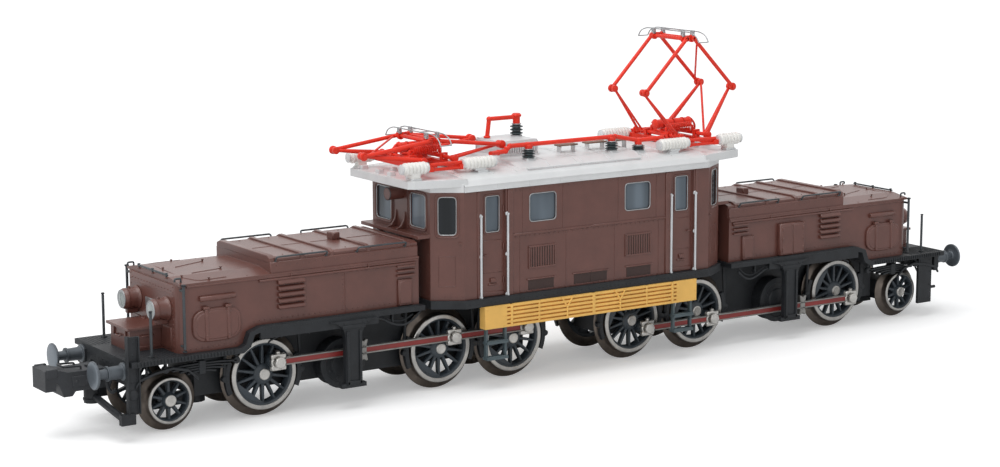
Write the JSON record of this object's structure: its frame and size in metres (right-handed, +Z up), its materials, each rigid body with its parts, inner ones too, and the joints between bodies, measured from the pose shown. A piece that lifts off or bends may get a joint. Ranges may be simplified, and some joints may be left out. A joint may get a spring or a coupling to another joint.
{
  "type": "model electric locomotive",
  "caption": "Scale model of an articulated electric locomotive: central cab, two hooded trucks with side rods, and two diamond pantographs.",
  "frame": {"origin": "middle of the locomotive on the plane of the lowest points of the wheel flanges", "axes": "+X along the locomotive towards the end with the raised pantograph, +Y to its far side, +Z up"},
  "size_m": [0.131, 0.0188, 0.0405],
  "materials": {
    "body_brown": "satin chocolate brown paint",
    "roof_silver": "satin aluminium paint",
    "window_glass": "clear glazing",
    "frame_grey": "matt near-black grey",
    "cooler_yellow": "matt yellow-orange paint",
    "step_grey": "matt grey-blue",
    "rail_white": "matt pale grey",
    "rail_grey": "matt dark grey",
    "signal_red": "satin orange-red paint",
    "insulator_dark": "satin dark grey-green",
    "insulator_white": "satin cream white",
    "buffer_grey": "satin dark grey",
    "wheel_steel": "turned steel tyres, dark centres",
    "rod_red": "bright edges, red flute",
    "coupler_black": "matt black",
    "collector_silver": "bright metal"
  },
  "bodies": {
    "cab": {"cab_body": "body_brown", "cab_roof": "roof_silver", "side_windows_left": "window_glass", "side_windows_right": "window_glass", "end_windows_front": "window_glass", "end_windows_rear": "window_glass", "underframe": "frame_grey", "king_pins": "frame_grey", "cooler_left": "cooler_yellow", "cooler_right": "cooler_yellow", "cab_steps": "step_grey", "cab_handrails": "rail_white", "cab_lamps": "body_brown", "roof_conductors": "signal_red", "roof_insulators": "insulator_dark", "pantograph_insulators": "insulator_white", "resistor_box": "roof_silver", "pantograph_base_front": "signal_red", "pantograph_base_rear": "signal_red"},
    "truck_front": {"truck_frame_front": "frame_grey", "hood_front": "body_brown", "buffers_front": "buffer_grey", "headlamps_front": "body_brown", "toolbox_front": "body_brown", "hood_rails_front": "rail_grey", "motor_front": "frame_grey", "rail_guards_front": "frame_grey"},
    "drivers_front_1": {"driver_front_1": "wheel_steel"},
    "drivers_front_2": {"driver_front_2": "wheel_steel"},
    "drivers_front_3": {"driver_front_3": "wheel_steel"},
    "rod_front_left": {"rod_front_left": "rod_red"},
    "rod_front_right": {"rod_front_right": "rod_red"},
    "pony_front": {"pony_truck_front": "frame_grey"},
    "carriers_front": {"carrying_wheels_front": "wheel_steel"},
    "lower_arm_front_a": {"lower_arm_front_a": "signal_red"},
    "upper_arm_front_a": {"upper_arm_front_a": "signal_red"},
    "lower_arm_front_b": {"lower_arm_front_b": "signal_red"},
    "upper_arm_front_b": {"upper_arm_front_b": "signal_red"},
    "collector_front": {"collector_front": "collector_silver"},
    "truck_rear": {"truck_frame_rear": "frame_grey", "hood_rear": "body_brown", "buffers_rear": "buffer_grey", "headlamps_rear": "body_brown", "toolbox_rear": "body_brown", "hood_rails_rear": "rail_grey", "motor_rear": "frame_grey", "rail_guards_rear": "frame_grey"},
    "drivers_rear_1": {"driver_rear_1": "wheel_steel"},
    "drivers_rear_2": {"driver_rear_2": "wheel_steel"},
    "drivers_rear_3": {"driver_rear_3": "wheel_steel"},
    "rod_rear_left": {"rod_rear_left": "rod_red"},
    "rod_rear_right": {"rod_rear_right": "rod_red"},
    "pony_rear": {"pony_truck_rear": "frame_grey"},
    "carriers_rear": {"carrying_wheels_rear": "wheel_steel"},
    "lower_arm_rear_a": {"lower_arm_rear_a": "signal_red"},
    "upper_arm_rear_a": {"upper_arm_rear_a": "signal_red"},
    "lower_arm_rear_b": {"lower_arm_rear_b": "signal_red"},
    "upper_arm_rear_b": {"upper_arm_rear_b": "signal_red"},
    "collector_rear": {"collector_rear": "collector_silver"},
    "coupler": {"coupler_hook": "coupler_black"}
  },
  "joints": [
    {"name": "truck_front_swivel", "type": "hinge", "parent": "cab", "child": "truck_front", "pos_m": [-0.0146, 0, 0.0085], "axis": [0, 0, 1], "range_deg": [-4, 4]},
    {"name": "drivers_front_1_spin", "type": "hinge", "parent": "truck_front", "child": "drivers_front_1", "pos_m": [-0.04265, 0, 0.00495], "axis": [0, 1, 0], "continuous": true},
    {"name": "drivers_front_2_spin", "type": "hinge", "parent": "truck_front", "child": "drivers_front_2", "pos_m": [-0.01921, 0, 0.00495], "axis": [0, 1, 0], "continuous": true},
    {"name": "drivers_front_3_spin", "type": "hinge", "parent": "truck_front", "child": "drivers_front_3", "pos_m": [-0.00891, 0, 0.00495], "axis": [0, 1, 0], "continuous": true},
    {"name": "rod_front_left_pin", "type": "hinge", "parent": "drivers_front_1", "child": "rod_front_left", "pos_m": [-0.04143, -0.0062, 0.00641], "axis": [0, 1, 0], "continuous": true},
    {"name": "rod_front_right_pin", "type": "hinge", "parent": "drivers_front_1", "child": "rod_front_right", "pos_m": [-0.0441, 0.0062, 0.00617], "axis": [0, 1, 0], "continuous": true},
    {"name": "pony_front_swivel", "type": "hinge", "parent": "truck_front", "child": "pony_front", "pos_m": [-0.049, 0, 0.0035], "axis": [0, 0, 1], "range_deg": [-5, 5]},
    {"name": "carriers_front_spin", "type": "hinge", "parent": "pony_front", "child": "carriers_front", "pos_m": [-0.0543, 0, 0.0035], "axis": [0, 1, 0], "continuous": true},
    {"name": "pantograph_front_lower_a", "type": "hinge", "parent": "cab", "child": "lower_arm_front_a", "pos_m": [-0.02107, 0, 0.0273], "axis": [0, 1, 0], "range_deg": [0, 52.3]},
    {"name": "pantograph_front_upper_a", "type": "hinge", "parent": "lower_arm_front_a", "child": "upper_arm_front_a", "pos_m": [-0.02843, 0, 0.0283], "axis": [0, -1, 0], "range_deg": [0, 99.63]},
    {"name": "pantograph_front_lower_b", "type": "hinge", "parent": "cab", "child": "lower_arm_front_b", "pos_m": [-0.01679, 0, 0.0273], "axis": [0, -1, 0], "range_deg": [0, 52.3]},
    {"name": "pantograph_front_upper_b", "type": "hinge", "parent": "lower_arm_front_b", "child": "upper_arm_front_b", "pos_m": [-0.00943, 0, 0.0283], "axis": [0, 1, 0], "range_deg": [0, 99.63]},
    {"name": "pantograph_front_collector", "type": "hinge", "parent": "upper_arm_front_a", "child": "collector_front", "pos_m": [-0.01953, 0, 0.02939], "axis": [0, 1, 0], "range_deg": [0, 47.33]},
    {"name": "truck_rear_swivel", "type": "hinge", "parent": "cab", "child": "truck_rear", "pos_m": [0.0146, 0, 0.0085], "axis": [0, 0, -1], "range_deg": [-4, 4]},
    {"name": "drivers_rear_1_spin", "type": "hinge", "parent": "truck_rear", "child": "drivers_rear_1", "pos_m": [0.04265, 0, 0.00495], "axis": [0, 1, 0], "continuous": true},
    {"name": "drivers_rear_2_spin", "type": "hinge", "parent": "truck_rear", "child": "drivers_rear_2", "pos_m": [0.01921, 0, 0.00495], "axis": [0, 1, 0], "continuous": true},
    {"name": "drivers_rear_3_spin", "type": "hinge", "parent": "truck_rear", "child": "drivers_rear_3", "pos_m": [0.00891, 0, 0.00495], "axis": [0, 1, 0], "continuous": true},
    {"name": "rod_rear_left_pin", "type": "hinge", "parent": "drivers_rear_1", "child": "rod_rear_left", "pos_m": [0.0443, -0.0062, 0.004], "axis": [0, 1, 0], "continuous": true},
    {"name": "rod_rear_right_pin", "type": "hinge", "parent": "drivers_rear_1", "child": "rod_rear_right", "pos_m": [0.0436, 0.0062, 0.0066], "axis": [0, 1, 0], "continuous": true},
    {"name": "pony_rear_swivel", "type": "hinge", "parent": "truck_rear", "child": "pony_rear", "pos_m": [0.049, 0, 0.0035], "axis": [0, 0, -1], "range_deg": [-5, 5]},
    {"name": "carriers_rear_spin", "type": "hinge", "parent": "pony_rear", "child": "carriers_rear", "pos_m": [0.0543, 0, 0.0035], "axis": [0, 1, 0], "continuous": true},
    {"name": "pantograph_rear_lower_a", "type": "hinge", "parent": "cab", "child": "lower_arm_rear_a", "pos_m": [0.01679, 0, 0.0273], "axis": [0, 1, 0], "range_deg": [-42.5, 9.8]},
    {"name": "pantograph_rear_upper_a", "type": "hinge", "parent": "lower_arm_rear_a", "child": "upper_arm_rear_a", "pos_m": [0.01203, 0, 0.03301], "axis": [0, -1, 0], "range_deg": [-80.96, 18.67]},
    {"name": "pantograph_rear_lower_b", "type": "hinge", "parent": "cab", "child": "lower_arm_rear_b", "pos_m": [0.02107, 0, 0.0273], "axis": [0, -1, 0], "range_deg": [-42.5, 9.8]},
    {"name": "pantograph_rear_upper_b", "type": "hinge", "parent": "lower_arm_rear_b", "child": "upper_arm_rear_b", "pos_m": [0.02583, 0, 0.03301], "axis": [0, 1, 0], "range_deg": [-80.96, 18.67]},
    {"name": "pantograph_rear_collector", "type": "hinge", "parent": "upper_arm_rear_a", "child": "collector_rear", "pos_m": [0.01833, 0, 0.0394], "axis": [0, 1, 0], "range_deg": [-38.46, 8.87]},
    {"name": "coupler_swing", "type": "hinge", "parent": "truck_front", "child": "coupler", "pos_m": [-0.0613, 0, 0.0063], "axis": [0, 0, 1], "range_deg": [-8, 8]}
  ],
  "couplings": [
    {"joint": "drivers_front_2_spin", "follows": "drivers_front_1_spin", "ratio": 1},
    {"joint": "drivers_front_3_spin", "follows": "drivers_front_1_spin", "ratio": 1},
    {"joint": "rod_front_left_pin", "follows": "drivers_front_1_spin", "ratio": -1},
    {"joint": "rod_front_right_pin", "follows": "drivers_front_1_spin", "ratio": -1},
    {"joint": "pantograph_front_upper_a", "follows": "pantograph_front_lower_a", "ratio": 1.905},
    {"joint": "pantograph_front_lower_b", "follows": "pantograph_front_lower_a", "ratio": 1},
    {"joint": "pantograph_front_upper_b", "follows": "pantograph_front_lower_a", "ratio": 1.905},
    {"joint": "pantograph_front_collector", "follows": "pantograph_front_lower_a", "ratio": 0.905},
    {"joint": "drivers_rear_2_spin", "follows": "drivers_rear_1_spin", "ratio": 1},
    {"joint": "drivers_rear_3_spin", "follows": "drivers_rear_1_spin", "ratio": 1},
    {"joint": "rod_rear_left_pin", "follows": "drivers_rear_1_spin", "ratio": -1},
    {"joint": "rod_rear_right_pin", "follows": "drivers_rear_1_spin", "ratio": -1},
    {"joint": "pantograph_rear_upper_a", "follows": "pantograph_rear_lower_a", "ratio": 1.905},
    {"joint": "pantograph_rear_lower_b", "follows": "pantograph_rear_lower_a", "ratio": 1},
    {"joint": "pantograph_rear_upper_b", "follows": "pantograph_rear_lower_a", "ratio": 1.905},
    {"joint": "pantograph_rear_collector", "follows": "pantograph_rear_lower_a", "ratio": 0.905}
  ]
}
